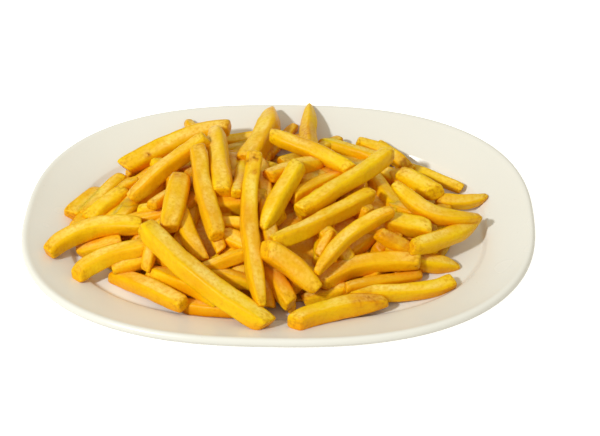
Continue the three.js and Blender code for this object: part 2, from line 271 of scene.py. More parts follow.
def platter_rings(section, steps):
    """Rings of points, one for each [inset, height]: outlines whose half axes are less by the
    inset, down to the edge of the well, and from there the well's outline shrinks evenly."""
    radius = HALF_WIDTH - section[:, :1]
    ring = np.maximum(radius, HALF_WIDTH - WELL_INSET)
    angle = np.linspace(0, 2 * np.pi, steps, endpoint=False)[None, :]
    x, y = superellipse(angle, ring + HALF_LENGTH - HALF_WIDTH, ring, OUTLINE_POWER)
    z = np.broadcast_to(section[:, 1:], x.shape)
    return np.stack([x * radius / ring, y * radius / ring, z], axis=-1)


print("the outline is", 2 * HALF_LENGTH, "by", 2 * HALF_WIDTH, "mm")


# %% Meshes from rings
def closed_tubes(name, rings, poles):
    """One mesh of many closed tubes. `rings` has the shape (tubes, rings, points round, 3) and
    `poles` (tubes, 2, 3): a strip of quads joins each ring to the next, and a fan of triangles
    joins the first and the last ring to their poles. Rings run right-handed round the way from
    the first pole to the last, which turns the faces outwards."""
    tubes, count, around, _ = rings.shape
    points = np.concatenate([rings.reshape(tubes, -1, 3), poles], axis=1)
    each = count * around + 2
    grid = np.arange(count * around).reshape(count, around)
    after = np.roll(grid, -1, axis=1)
    quads = np.stack([grid[:-1], after[:-1], after[1:], grid[1:]], axis=-1).reshape(-1, 4)
    first = np.stack([after[0], grid[0], np.full(around, each - 2)], axis=-1)
    last = np.stack([grid[-1], after[-1], np.full(around, each - 1)], axis=-1)
    shift = (np.arange(tubes) * each)[:, None, None]
    quads = (quads[None] + shift).reshape(-1, 4)
    fans = (np.concatenate([first, last])[None] + shift).reshape(-1, 3)

    mesh = bpy.data.meshes.new(name)
    mesh.vertices.add(tubes * each)
    mesh.vertices.foreach_set("co", (points * MM).astype(np.float32).ravel())
    corners = np.concatenate([quads.ravel(), fans.ravel()])
    mesh.loops.add(len(corners))
    mesh.loops.foreach_set("vertex_index", corners.astype(np.int32))
    sides = np.concatenate([np.full(len(quads), 4), np.full(len(fans), 3)])
    mesh.polygons.add(len(sides))
    mesh.polygons.foreach_set("loop_start", np.concatenate([[0], np.cumsum(sides)[:-1]]))
    mesh.polygons.foreach_set("loop_total", sides)
    mesh.polygons.foreach_set("use_smooth", np.ones(len(sides), dtype=bool))
    mesh.update(calc_edges=True)
    print(name, "has", 2 * len(quads) + len(fans), "triangles")
    return mesh


def place_piece(mesh, material, node_name):
    """Puts a finished mesh in the scene as a piece that stands for a CAD node."""
    piece = bpy.data.objects.new(mesh.name, mesh)
    bpy.context.scene.collection.objects.link(piece)
    mesh.materials.append(material)
    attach(piece, "root")
    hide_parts(node_name)


# %% [markdown]
# ## Porcelain
#
# Porcelain is white clay under a fired glaze, which is glass. Its white is slightly warm, and
# the glass gives sharp but weak reflections. One flat white with a gloss would look like
# plastic. What keeps it from that is small: the glaze lies in slow waves, its gloss changes
# where oil has touched it, and there are a few fine specks. The ring that it stood on in the
# kiln is left without glaze, so it is rough and greyer.

# %% Porcelain's colour
CLOUD_MM = 45
SPECK_MM = 3.2  # from one possible speck to the next
SPARSE_MM = 1.4 * SPECK_MM  # the slower noise that lets only a few of them show
BARE_HEIGHT = 0.7  # above the table, where the glaze stops

porcelain, tree, shader = new_material("glazed_porcelain")
where = node(tree, "TexCoord", "Object")
cloud_inputs = {"Vector": where, "Scale": 1 / (CLOUD_MM * MM), "Detail": 2.0}
cloud = node(tree, "TexNoise", "Fac", cloud_inputs)
whites = {0: cloud, MIX_A: linear("#E4E2D9"), MIX_B: linear("#E9E7E0")}
body = node(tree, "Mix", MIX_OUT, whites, data_type="RGBA")

cells = node(tree, "TexVoronoi", "Distance", {"Vector": where, "Scale": 1 / (SPECK_MM * MM)})
sparse_inputs = {"Vector": where, "Scale": 1 / (SPARSE_MM * MM), "Detail": 0.0}
sparse = node(tree, "TexNoise", "Fac", sparse_inputs)
speck = node(tree, "MapRange", "Result", {"Value": cells, "From Min": 0.07, "From Max": 0.03})
chosen = node(tree, "MapRange", "Result", {"Value": sparse, "From Min": 0.66, "From Max": 0.7})
speckle = node(tree, "Math", "Value", {0: speck, 1: chosen}, operation="MULTIPLY")
specks = {0: speckle, MIX_A: body, MIX_B: linear("#B9A88C")}
flecked = node(tree, "Mix", MIX_OUT, specks, data_type="RGBA")

height = node(tree, "SeparateXYZ", "Z", {0: where})
glaze_stops = {
    "Value": height,
    "From Min": BARE_HEIGHT * MM,
    "From Max": 0.6 * BARE_HEIGHT * MM,
}
bare = node(tree, "MapRange", "Result", glaze_stops)
bisque = {0: bare, MIX_A: flecked, MIX_B: linear("#CFC8BA")}
fired = node(tree, "Mix", MIX_OUT, bisque, data_type="RGBA")
tree.links.new(fired, shader.inputs["Base Color"])

# %% Porcelain's gloss and waves
WAVE_MM = 18
BARE_ROUGHNESS = 0.6  # more than the glaze has

oiled = {"Value": cloud, "From Min": 0.3, "From Max": 0.7, "To Min": 0.16, "To Max": 0.28}
gloss = node(tree, "MapRange", "Result", oiled)
matt_foot = {0: bare, 1: BARE_ROUGHNESS, 2: gloss}
roughness = node(tree, "Math", "Value", matt_foot, operation="MULTIPLY_ADD")
wave_inputs = {"Vector": where, "Scale": 1 / (WAVE_MM * MM), "Detail": 1.0}
wave = node(tree, "TexNoise", "Fac", wave_inputs)
ripple = node(tree, "Bump", "Normal", {"Height": wave, "Strength": 0.25, "Distance": 0.6 * MM})
tree.links.new(roughness, shader.inputs["Roughness"])
tree.links.new(ripple, shader.inputs["Normal"])
shader.inputs["IOR"].default_value = 1.5
shader.inputs["Specular IOR Level"].default_value = 0.45
print("glazed porcelain takes", len(tree.nodes), "nodes")

# %% Platter piece
INNERMOST = 30  # how far from the middle, at the sides, the last ring of each face lies
WELL_RING_INSET = 45
PLATTER_STEPS = 240

underside = np.vstack([UNDER_SECTION, [HALF_WIDTH - INNERMOST, UNDERSIDE_HEIGHT]])
well = [[HALF_WIDTH - INNERMOST, WELL_HEIGHT], [WELL_RING_INSET, WELL_HEIGHT]]
section = cut_corners(np.vstack([well, TOP_SECTION, underside]), rounds=3)
rings = platter_rings(section, PLATTER_STEPS)[:, ::-1]
middles = np.array([[0, 0, WELL_HEIGHT], [0, 0, UNDERSIDE_HEIGHT]], dtype=float)
platter_mesh = closed_tubes("porcelain_platter", rings[None], middles[None])
place_piece(platter_mesh, porcelain, "platter")

# %% [markdown]
# ## Where the fries lie
#
# The fries that show are placed one by one. Dropping them with a physics simulation would heap
# them just as naturally, but never where each of them is wanted. Each row gives a fry's two
# ends as the diner sees them: millimetres right of and above the platter's middle, on a plane
# square to the line of sight, and each end's height above the table. The line of sight then
# fixes the point in space.

# %% The fries that show
# right, up, height of one end, the same of the other, width, level bow to the left, how blunt
# each end is (1 is square cut, 0.2 a point), where along it the bow is, and its turn about
# its own line in radians
FRIES = [
    # Front left, lying out over the rim
    [-128.5, -4.5, 18.5, -76.5, 8.5, 24, 9.5, 9.5, 0.8, 0.9, 0.42],
    [-113.5, -18, 15.5, -73, -2.5, 25, 9.3, 4.5, 0.8, 0.9, 0.4],
    [-111.5, -4, 10, -87.5, 0.5, 18, 7.9, 0, 0.86, 0.86],
    [-93.5, -18, 9.5, -54.5, -36, 16.5, 8.7, 1.5, 0.8, 0.9],
    [-70, 0.5, 30.5, -75, -16.5, 18, 6.4, 0, 0.9, 0.75],
    [-93, -15, 14.5, -69, -9, 18.5, 8.2, 0, 0.86, 0.86],
    [-74.6, 9, 37.5, -8.5, -48.5, 17.5, 10.6, -4, 0.8, 0.8],
    [-56.5, -36, 10, -15, -42, 11, 7.7, 0, 0.86, 0.86],
    [-74, -16.5, 14.5, -34.5, -34.5, 17, 8.4, 1.5, 0.86, 0.86],
    [-72, -6, 19, -47, -16, 19, 8.3, 0, 0.86, 0.86],
    # Back left
    [-115, 15.5, 13.5, -97, 28, 11.5, 10.6, 0, 0.85, 0.95],
    [-86.2, 34.8, 13.5, -108.5, 15, 13.5, 8.4, 0, 0.95, 0.9],
    [-84.5, 27.5, 19, -106, 12.5, 15, 9.5, 0, 0.9, 0.86],
    [-87.5, 29, 21, -76.5, 33.5, 22, 6, 0, 0.86, 0.86],
    [-84.5, 41, 18, -25.5, 61, 27.5, 10.9, 4.5, 0.95, 0.75],
    [-48.5, 65.5, 18, -42.5, 51, 18, 6.4, 0, 0.7, 0.9],
    [-83, 38.5, 11.5, -58, 46.5, 9.5, 7.4, 0, 0.86, 0.86],
    [-81.5, 23.5, 23.5, -38, 56, 38.5, 8.7, 1.5, 0.8, 0.9],
    [-54, 36, 34, -61, 6, 31, 11.8, 0, 0.75, 0.8],
    [-58, 27, 27.5, -70.5, 19.5, 31, 6.5, 0, 0.86, 0.86],
    [-78, 16.5, 21, -57, 19, 25, 7.5, 0, 0.86, 0.86],
    [-43.8, 50.5, 39, -34.7, 1, 34.5, 9.2, -1, 0.9, 0.85],
    [-33.5, 61, 30.5, -30.8, 25, 38, 10.6, 0.5, 0.55, 0.85],
    [-54.8, 16, 28.5, -41.5, -11.5, 22.5, 8.6, -1.5, 0.9, 0.4],
    [-67, 44, 24.5, -51, 25, 24.5, 8.3, 0, 0.86, 0.86],
    [-36, 1.5, 29.5, -32.5, -7, 26, 6.7, 0, 0.9, 0.9],
    [-47, 53, 12.5, -7, 54, 12.5, 7.8, 0, 0.86, 0.86],
    # Middle
    [-2.5, 69.5, 22.5, -17, 42, 27.5, 12.2, 3, 0.45, 0.9],
    [-12.3, 45.5, 44, -11.5, -38.5, 23.5, 8.8, -4.4, 1, 0.4],
    [-17.5, 46, 19.5, -23, 24, 39.5, 7, 0, 0.86, 0.86],
    [-3.5, 56, 37, 41.5, 34.5, 32.5, 8.5, 2, 0.8, 0.9],
    [11, 60.5, 15.5, -7, 43.5, 15.5, 6.5, 0, 0.7, 0.9],
    [19, 72.5, 20.5, 17.5, 45, 28, 8.3, 0, 0.2, 1, 0.5, 0.8],
    [16, 43, 21.5, 35, 52, 16.5, 6.5, 0, 0.9, 0.75],
    [44.5, 51, 16.5, 72, 35, 13.5, 7.2, 2.5, 0.6, 0.9],
    [24, 50.5, 17.5, 60, 39.5, 16, 8.2, 0, 0.86, 0.86],
    [11, 13.5, 34, 62, 43.5, 34, 8.9, -1.5, 0.8, 0.9],
    [-4.5, -3.5, 33, 51, 21.5, 28, 8.5, -2, 0.8, 0.85],
    [19.5, -21, 29, 63, 11.5, 35.5, 7.3, 5.5, 0.5, 0.7],
    [12, 39.5, 39.5, -9.8, 4, 33, 9.8, 0, 0.9, 0.45],
    [-5.5, 33, 38, 22.5, 39.5, 30, 9.4, 0, 0.75, 0.9],
    [2, 40.5, 17, 16, 43.5, 11, 7, 0, 0.86, 0.86],
    [-5, 53.5, 21, -7, 40, 19, 6, 0, 0.86, 0.86],
    [7.5, 21, 32, 39, 34.5, 24, 8, 0, 0.86, 0.86],
    [-37.5, 18.5, 29.5, -7, 20.5, 31, 11, 0, 0.86, 0.86],
    [-34.5, 8.5, 29.5, -12, 7, 30, 6.6, 0, 0.86, 0.86],
    [-32, 2.5, 27.5, -10.5, -8.5, 25, 9.5, 0, 0.86, 0.86],
    [-45, -17, 20.5, -17, -8, 26.5, 6.7, 0, 0.86, 0.86],
    [-40.5, -18, 18.5, -13, -27, 15.5, 7.6, 0, 0.86, 0.86],
    [-9, 34, 33, -5, -6, 28, 8.3, 0, 0.86, 0.86],
    [-13, -10, 23, 5, -38, 16, 8.7, 0, 0.86, 0.86],
    [-9, -6.5, 36.5, 20, -30.5, 21, 11.3, 2, 0.8, 0.6, 0.5, 0.5],
    # Back right
    [68.5, 31, 19.5, 87.5, 20.5, 21.5, 10.2, 0, 0.9, 0.9],
    [72.5, 35, 9.5, 101.5, 22, 9.5, 6, 0, 0.9, 0.9],
    [87, 17, 15, 115, 18, 12.5, 7.3, -3.5, 0.9, 0.35],
    [64.5, 26, 34.5, 111, 6.5, 22, 8.5, -10.5, 0.6, 0.4],
    [59, 6.5, 27.5, 82.5, 0, 24.5, 9.8, 0, 0.9, 0.85],
    [52, 32, 17, 67, 10, 18, 8.3, 0, 0.86, 0.86],
    [61, 14.5, 19, 80.5, 7.5, 20, 6.5, 0, 0.86, 0.86],
    [56, 48, 12.5, 74, 33, 12, 7.8, 0, 0.86, 0.86],
    [71, 3, 20, 93, 12, 12, 7.8, 0, 0.86, 0.86],
    # Front right
    [72, -9, 26.5, 111, 6, 15.5, 8.6, -3.5, 0.85, 0.3],
    [54, 0, 31, 74, -12, 21, 7, 0, 0.86, 0.86],
    [60, -12, 21, 65, -2, 23, 6.5, 0, 0.86, 0.86],
    [74, -10.5, 17, 86, -10.5, 15.5, 6.5, 0, 0.86, 0.86],
    [73.5, -16, 15, 98.5, -20.5, 8, 8.4, 0, 1, 0.3],
    [21.5, -28, 18.5, 77, -16.5, 19.5, 9, 7, 0.7, 0.9, 0.35],
    [35, -30, 18.5, 77, -24.5, 10, 6, 0, 0.9, 0.95],
    [35.5, -32, 14.5, 94.5, -28.5, 10, 7.8, -5, 0.9, 0.95],
    [5.5, -48.5, 18, 57.5, -38.2, 14, 9.4, 3, 0.9, 0.5],
    [-1.5, -28, 14, 5.5, -41, 9, 6.2, 0, 0.8, 0.8],
    [11.5, -36.5, 10, 36.5, -30, 13, 7.1, 0, 0.86, 0.86],
    [-4, -34, 12, 14, -23, 17, 7.4, 0, 0.86, 0.86],
    [28.5, 2, 31, 20.5, -12, 23, 5.6, 0, 0.7, 0.86],
    [31.5, -15.5, 19, 60, 4.5, 21, 8.1, 0, 0.86, 0.86],
    [52, -11, 17, 66, 1, 19, 7.8, 0, 0.86, 0.86],
    [21, 5, 28, 39, -16, 20, 8.3, 0, 0.86, 0.86],
]
ALWAYS_SAID = 10
UNLESS_SAID = [0.5, 0]


def from_seat(right, up, height):
    """Where the line of sight through (right, up) reaches a height: eye + ray times the share
    of the ray that brings its height down to the one asked for."""
    ray = EYE_AIM + right[:, None] * rightward + up[:, None] * upward - eye
    return eye + ray * ((height - eye[2]) / ray[:, 2])[:, None]


def to_seat(points):
    """How far right of and above the point looked at the diner sees points: the ray to each,
    brought to the plane through that point, measured along rightward and upward."""
    ray = points - eye
    ray = ray * (EYE_DISTANCE / (ray @ forward))[..., None]
    return np.stack([ray @ rightward, ray @ upward], axis=-1)


rows = np.array([row + UNLESS_SAID[len(row) - ALWAYS_SAID :] for row in FRIES], dtype=float)
shown = {
    "start": from_seat(*rows[:, 0:3].T),
    "end": from_seat(*rows[:, 3:6].T),
    "width": rows[:, 6],
    "bow": rows[:, 7],
    "blunt": rows[:, 8:10],
    "bow_at": rows[:, 10],
    "roll": rows[:, 11],
}
lengths = np.linalg.norm(shown["end"] - shown["start"], axis=1)
print(len(rows), "fries that show,", round(lengths.min()), "to", round(lengths.max()), "mm long")

# %% Spots that browned more, some of them painted shade
# right, up and radius, as the diner sees them, and how far each got (1 is burnt); the weaker
# spots in part are painted shade cast by the fries above
BROWN_AND_SHADE_SPOTS = np.array(
    [
        [42.2, -38, 6, 0.6],
        [47.3, -34.9, 6, 0.7],
        [51.1, -37.5, 5, 0.6],
        [54.5, -39.6, 5, 0.5],
        [70, 37.8, 7, 0.5],
        [61.5, -2.5, 7, 0.5],
        [71, -9, 7, 0.5],
        [16.5, 57, 8, 0.5],
        [-13.2, 44.3, 2.6, 1],
        [-11.1, 43.1, 2.2, 1],
        [-16.7, 41.7, 2.2, 1],
        [-12.4, 36.5, 2.2, 1],
        [-55, 35.9, 2.4, 1],
        [-71.2, 47.6, 2.6, 1],
    ]
)


def brown_and_shade_of(points):
    """How brown each point is, browning and painted shade together: strength times 1 less
    distance over radius, at least 0.
    """
    away = np.linalg.norm(to_seat(points)[..., None, :] - BROWN_AND_SHADE_SPOTS[:, :2], axis=-1)
    return (BROWN_AND_SHADE_SPOTS[:, 3] * np.clip(1 - away / BROWN_AND_SHADE_SPOTS[:, 2], 0, 1)).max(axis=-1)


print(len(BROWN_AND_SHADE_SPOTS), "browned spots,", (BROWN_AND_SHADE_SPOTS[:, 3] == 1).sum(), "of them burnt")

# %% [markdown]
# ## The fries below
#
# Under and behind the ones that show lie more, which only fill. They rest on a low dome in the
# well. Random places would leave holes and clumps, so a rule spreads them: each next one is
# turned on by the golden angle, which never repeats, and steps outwards so that equal areas
# get equal numbers. Only its length, width, heading and height are drawn at random. One that
# wouldn't be hidden by the fries that show, or that would push through them, is left out.

# %% The dome in the well
CORE_HALF_LENGTH = 104
CORE_HALF_WIDTH = 62
CORE_POWER = 2.2
CORE_CENTRE = np.array([-5, 3])
CORE_RISE = 23
FIT_GAP = 0.4


def core_height(x, y):
    """The dome: the well's height, plus the rise less the sum of two powers of x and y."""
    out_x = np.abs((x - CORE_CENTRE[0]) / CORE_HALF_LENGTH) ** CORE_POWER
    out_y = np.abs((y - CORE_CENTRE[1]) / CORE_HALF_WIDTH) ** CORE_POWER
    return WELL_HEIGHT + CORE_RISE * np.maximum(0, 1 - out_x - out_y)


print("the dome is", WELL_HEIGHT + CORE_RISE, "mm high in its middle")


# %% Helpers for laying
def seeded_draw(seed):
    """Numbers from 0 to 1, the same on every run: each is the last times 16807, modulo a prime."""
    state = seed
    while True:
        state = (state * 16807) % 2147483647
        yield state / 2147483647


def line_distance(point, a, b):
    """How far a point of a plane lies from the nearest of many straight lines, from a to b, and
    which line that is, and at what share of the way along it."""
    along = np.sum((point - a) * (b - a), axis=1) / np.sum((b - a) ** 2, axis=1)
    along = np.clip(along, 0, 1)
    away = np.linalg.norm(point - a - along[:, None] * (b - a), axis=1)
    nearest = away.argmin()
    return away[nearest], nearest, along[nearest]


def behind_shown(points, looks, seen):
    """How much further off than the shown fry nearest to it in view the nearest point lies."""
    depths = [(shown[end] - eye) @ forward for end in ("start", "end")]
    behind = []
    for point, look in zip(points, looks):
        _, nearest, share = line_distance(look, *seen)
        depth = depths[0][nearest] + share * (depths[1][nearest] - depths[0][nearest])
        behind.append((point - eye) @ forward - depth)
    return min(behind)


# %% Fries laid by rule
FILL_BLUNTNESS = 0.86
FILL_REACH = 0.97  # share of the dome's size that the middles keep to
LOOKS_ALONG = 5


def lay_by_rule(tries, turn, lengths, widths, lift, sink, clearance, cover, behind, seed):
    """Fries lying on the dome. The n-th middle is at the golden angle times n, wrapped at `turn`,
    and at a share of the dome's size that grows as the square root of n. Each end lies above the
    well, at the dome's height less `sink` plus a random part of `lift`. A fry is skipped where its
    middle is nearer than `clearance` to another in plan, where any of it is seen `cover` or more
    away from a shown fry's line, and where it isn't at least `behind` further off than that."""
    draw = seeded_draw(seed)
    golden_angle = math.pi * (3 - math.sqrt(5))
    seen = [to_seat(shown["start"]), to_seat(shown["end"])]
    taken = [shown["start"][:, :2], shown["end"][:, :2]]
    laid = []
    for i in range(tries):
        share = FILL_REACH * math.sqrt((i + 0.5) / tries)
        place = (i * golden_angle) % turn
        spread = np.array([CORE_HALF_LENGTH * math.cos(place), CORE_HALF_WIDTH * math.sin(place)])
        middle = CORE_CENTRE + share * spread
        half = 0.5 * (lengths[0] + (lengths[1] - lengths[0]) * next(draw))
        heading = math.pi * next(draw)
        width = widths[0] + (widths[1] - widths[0]) * next(draw)
        if line_distance(middle, *taken)[0] < clearance:
            continue
        ends = []
        for along in (-half, half):
            x, y = middle + along * np.array([math.cos(heading), math.sin(heading)])
            lowest = WELL_HEIGHT + FIT_GAP + 0.5 * width
            ends.append([x, y, max(lowest, core_height(x, y) - sink + lift * next(draw))])
        ends = np.array(ends)
        points = ends[0] + np.linspace(0, 1, LOOKS_ALONG)[:, None] * (ends[1] - ends[0])
        looks = to_seat(points)
        if max(line_distance(look, *seen)[0] for look in looks) >= cover:
            continue
        if behind_shown(points, looks, seen) < behind:
            continue
        laid.append([*ends[0], *ends[1], width])
        if clearance:
            taken = [np.vstack([old, end[:2]]) for old, end in zip(taken, ends)]
    laid = np.array(laid)
    return {
        "start": laid[:, 0:3],
        "end": laid[:, 3:6],
        "width": laid[:, 6],
        "bow": np.zeros(len(laid)),
        "blunt": np.full((len(laid), 2), FILL_BLUNTNESS),
        "bow_at": np.full(len(laid), UNLESS_SAID[0]),
        "roll": np.full(len(laid), float(UNLESS_SAID[1])),
    }


# %% Two layers of them
COVER = 8
filled = lay_by_rule(
    tries=100,
    turn=math.pi,  # only on the half of the dome that is far from the diner
    lengths=(44, 68),
    widths=(9, 10.5),
    lift=4,
    sink=0,
    clearance=7.5,
    cover=COVER,
    behind=1,
    seed=4111,
)
below = lay_by_rule(
    tries=420,
    turn=2 * math.pi,
    lengths=(34, 54),
    widths=(7.5, 9.5),
    lift=3,
    sink=1.5,
    clearance=0,
    cover=COVER,
    behind=5,
    seed=977,
)
print(len(filled["width"]), "fries fill the gaps and", len(below["width"]), "lie below")

# %% [markdown]
# ## The shape of a fry
#
# A fry starts as a square stick of raw potato. In the oil its water leaves as steam: the flat
# sides sink a little between the edges, the stick bends and twists, and its thickness wanders.
# A bevelled box with a bend modifier would do for one, but a hundred of them would look alike.
# So a fry is a soft square carried along a bowed line. The two parameters are the place along
# it and the angle round it, and all fries are worked out at once as one array. A few slow waves
# with a different phase for each fry make it uneven, and its ends close over small rounds, cut
# at a slant.

# %% A fry's rings and its bowed line
BODY_RINGS = 30
# how far in from the end a ring lies, and its size as a share of the full section
END_RINGS = np.array([[0, 0.5], [0.08, 0.76], [0.3, 0.88], [0.9, 0.955], [2.0, 0.985], [4.2, 1.0]])
FULL_SIZE_FROM = 5.4
END_SHARE = 0.4  # of a short fry's length: the most that the rings of one end take up


def ring_places(length):
    """How far along each fry its rings lie, and how far the ends close them: the rings of one
    end, evenly spaced ones between, and the rings of the other end mirrored."""
    squeeze = np.minimum(1, END_SHARE * length / FULL_SIZE_FROM)[:, None]
    lead_in = END_RINGS[None, :, 0] * squeeze
    lead_out = length[:, None] - lead_in[:, ::-1]
    first = FULL_SIZE_FROM * squeeze
    inner = first + np.linspace(0, 1, BODY_RINGS)[None, :] * (length[:, None] - 2 * first)
    along = np.concatenate([lead_in, inner, lead_out], axis=1)
    closing = np.concatenate([END_RINGS[:, 1], np.ones(BODY_RINGS), END_RINGS[::-1, 1]])
    return along, closing


def bowed_line(fries, t):
    """p(t) = (1-t)^2 a + 2t(1-t) c + t^2 b, where the control point c stands off the chord by
    twice the bow, to the left. Its direction is (1-t)(c-a) + t(b-c), the level direction across
    is that turned by a right angle, and the third is square to both."""
    a, b = fries["start"], fries["end"]
    chord = b - a
    side = np.stack([-chord[:, 1], chord[:, 0], np.zeros(len(chord))], axis=1)
    side /= np.linalg.norm(side, axis=1)[:, None]
    control = a + chord * fries["bow_at"][:, None] + 2 * fries["bow"][:, None] * side
    line = (1 - t) ** 2 * a[:, None] + 2 * t * (1 - t) * control[:, None] + t**2 * b[:, None]
    tangent = (1 - t) * (control - a)[:, None] + t * (b - control)[:, None]
    tangent /= np.linalg.norm(tangent, axis=-1, keepdims=True)
    across = np.stack([-tangent[..., 1], tangent[..., 0], np.zeros(tangent.shape[:2])], axis=-1)
    across /= np.linalg.norm(across, axis=-1, keepdims=True)
    return line, tangent, across, np.cross(tangent, across)


print("a fry has", BODY_RINGS + 2 * len(END_RINGS), "rings")

# %% How a fry narrows and wanders
SQUARE_END_REACH = 7
POINTED_END_REACH = 32
WAVE_SHARES = (0.7, 0.3)
FASTER = 2.3


def narrowed(blunt, along, length):
    """Size along the fry: for each end 1 - (1 - blunt) (1 - distance / reach)^2, multiplied."""
    size = np.ones(along.shape)
    for end, gone in enumerate((along, length[:, None] - along)):
        bluntness = blunt[:, end : end + 1]
        reach = POINTED_END_REACH + (SQUARE_END_REACH - POINTED_END_REACH) * bluntness
        reach = np.minimum(reach, length[:, None] / 2)
        size *= 1 - (1 - bluntness) * (1 - np.clip(gone / reach, 0, 1)) ** 2
    return size


def waves(phase, along, length_mm):
    """A slow wave of height about 1: two sines of the length along, one about twice as fast."""
    turns = 2 * np.pi * along / length_mm
    slow = WAVE_SHARES[0] * np.sin(turns + phase[..., :1])
    return slow + WAVE_SHARES[1] * np.sin(FASTER * turns + phase[..., 1:2])


print("a square end narrows over", SQUARE_END_REACH, "mm and a point over", POINTED_END_REACH)

# %% A fry's section
AROUND = 24
THICKNESS = 0.95  # height over width
ROUNDING_LOSS = 1.06  # a soft square looks this much thinner than it measures
SQUARENESS = (2.8, 4.4)  # the power of the section, where 2 is round
THICKNESS_WANDER = 0.045
THICKNESS_WAVES_MM = (58, 47)
MOST_SUNK = 0.06  # how far the middle of a face sinks, as a share of the half width
LUMP = 0.022
LUMP_WAVES_MM = (17, 31)
PLAIN_END = 4  # over this stretch an end has no lumps yet


def fry_sections(width, size, along, length, phase, rng):
    """Points round each ring, across and up: a superellipse, times 1 plus lumps less the sinking
    cos^2(2 angle) of its faces. A lump is the product of two sines that wind round the fry."""
    half_width = 0.5 * ROUNDING_LOSS * width[:, None] * size
    wander = [
        1 + THICKNESS_WANDER * waves(phase[:, 2 * i : 2 * i + 2], along, wave_mm)
        for i, wave_mm in enumerate(THICKNESS_WAVES_MM)
    ]
    angle = np.linspace(0, 2 * np.pi, AROUND, endpoint=False)
    power = rng.uniform(*SQUARENESS, len(width))[:, None, None]
    u, v = superellipse(angle, 1, 1, power)
    on_face = np.cos(2 * angle) ** 2
    sinking = rng.uniform(0.0, MOST_SUNK, len(width))[:, None, None] * on_face
    from_end = np.minimum(along, length[:, None] - along)
    body = np.clip(from_end / PLAIN_END, 0, 1)[..., None]
    turns = [2 * np.pi * along[..., None] / wave_mm for wave_mm in LUMP_WAVES_MM]
    lumps = LUMP * np.sin(turns[0] + phase[:, 4, None, None] + 2 * angle)
    lumps = lumps * np.sin(turns[1] + phase[:, 5, None, None] - angle)
    uneven = 1 + body * (lumps - sinking)
    u = u * uneven * (half_width * wander[0])[..., None]
    v = v * uneven * (THICKNESS * half_width * wander[1])[..., None]
    return u, v, body, on_face, from_end


print("a fry has", AROUND, "points round it")

# %% Fry surface
SWAY_MM = (0.55, 0.35)  # how far the line sways sideways and up
SWAY_WAVES_MM = (64, 52)
SWAY_RISE = 6  # the sway is full from a sixth of the length on
MOST_TWIST = 0.2
MOST_ROLL = 0.3
MOST_SLANT = 0.4
SLANT_REACH = 7
TIP_REACH = 9
END_EDGE = 0.6  # how near to an edge an end counts as, where 1 is on it
PATTERN_SPREAD = 400  # how far apart fries' patterns may start, in mm


def fry_surfaces(fries, seed):
    """Rings, poles and fry coordinates. Each section lies in the plane across its bowed line,
    which sways a little, is turned by roll and twist, and near the ends leans along the line by
    its own coordinates times a slant."""
    rng = np.random.default_rng(seed)
    count = len(fries["start"])
    length = np.linalg.norm(fries["end"] - fries["start"], axis=1)
    along, closing = ring_places(length)
    t = (along / length[:, None])[..., None]
    line, tangent, across, up = bowed_line(fries, t)
    size = narrowed(fries["blunt"], along, length) * closing[None, :]

    phase = rng.uniform(0, 2 * np.pi, (count, 10))
    u, v, body, on_face, from_end = fry_sections(fries["width"], size, along, length, phase, rng)

    twist = rng.uniform(-MOST_TWIST, MOST_TWIST, (count, 1)) * (2 * t[..., 0] - 1)
    roll = fries["roll"][:, None] + rng.uniform(-MOST_ROLL, MOST_ROLL, (count, 1)) + twist
    turned_u = u * np.cos(roll)[..., None] - v * np.sin(roll)[..., None]
    turned_v = u * np.sin(roll)[..., None] + v * np.cos(roll)[..., None]

    slant = rng.uniform(-MOST_SLANT, MOST_SLANT, (count, 2, 2))[..., None, None]
    near_start = np.clip(1 - along / SLANT_REACH, 0, 1)[..., None]
    near_end = np.clip(1 - (length[:, None] - along) / SLANT_REACH, 0, 1)[..., None]
    lean = near_start * (slant[:, 0, 0] * u + slant[:, 0, 1] * v)
    lean += near_end * (slant[:, 1, 0] * u + slant[:, 1, 1] * v)

    sway = SWAY_MM[0] * waves(phase[:, 6:8], along, SWAY_WAVES_MM[0])[..., None] * across
    sway += SWAY_MM[1] * waves(phase[:, 8:10], along, SWAY_WAVES_MM[1])[..., None] * up
    centre = (line + sway * np.clip(np.minimum(t, 1 - t) * SWAY_RISE, 0, 1))[:, :, None]
    rings = centre + turned_u[..., None] * across[:, :, None] + turned_v[..., None] * up[:, :, None]
    rings = rings + lean[..., None] * tangent[:, :, None]

    shape = rings.shape[:3]
    return {
        "rings": rings,
        "poles": rings[:, [0, -1]].mean(axis=2),
        "coordinates": np.stack([np.broadcast_to(along[..., None], shape), u, v], axis=-1),
        "corner": body * (1 - END_EDGE - on_face) + END_EDGE,
        "tip": np.broadcast_to(np.clip(1 - from_end / TIP_REACH, 0, 1)[..., None], shape),
        "brown_and_shade": brown_and_shade_of(rings),
        "tone": np.broadcast_to(rng.uniform(0, 1, count)[:, None, None], shape),
        "offset": rng.uniform(0, PATTERN_SPREAD, (count, 3)),
    }


print("a fry sways by up to", SWAY_MM[0], "mm and rolls by up to", MOST_ROLL, "radians")

# %% [markdown]
# ## A fry's own coordinates
#
# The crust's patterns have to follow each fry, however it lies. Object coordinates would run
# straight through the whole heap, like the grain of one block that it was cut from. So five
# attributes tell the material where on a fry a point is: its place in the fry's own
# millimetres, how near it is to an edge and to an end, how far it browned, with painted shade
# in some spots, and a tone of its own for each fry.


# %% Fry meshes with their own coordinates
def with_poles(values, fill_first, fill_last):
    """Values per ring point, followed by those of the two poles, as one flat list."""
    flat = values.reshape(values.shape[0], -1, *values.shape[3:])
    ends = np.stack([fill_first, fill_last], axis=1)
    return np.concatenate([flat, ends], axis=1).astype(np.float32).ravel()


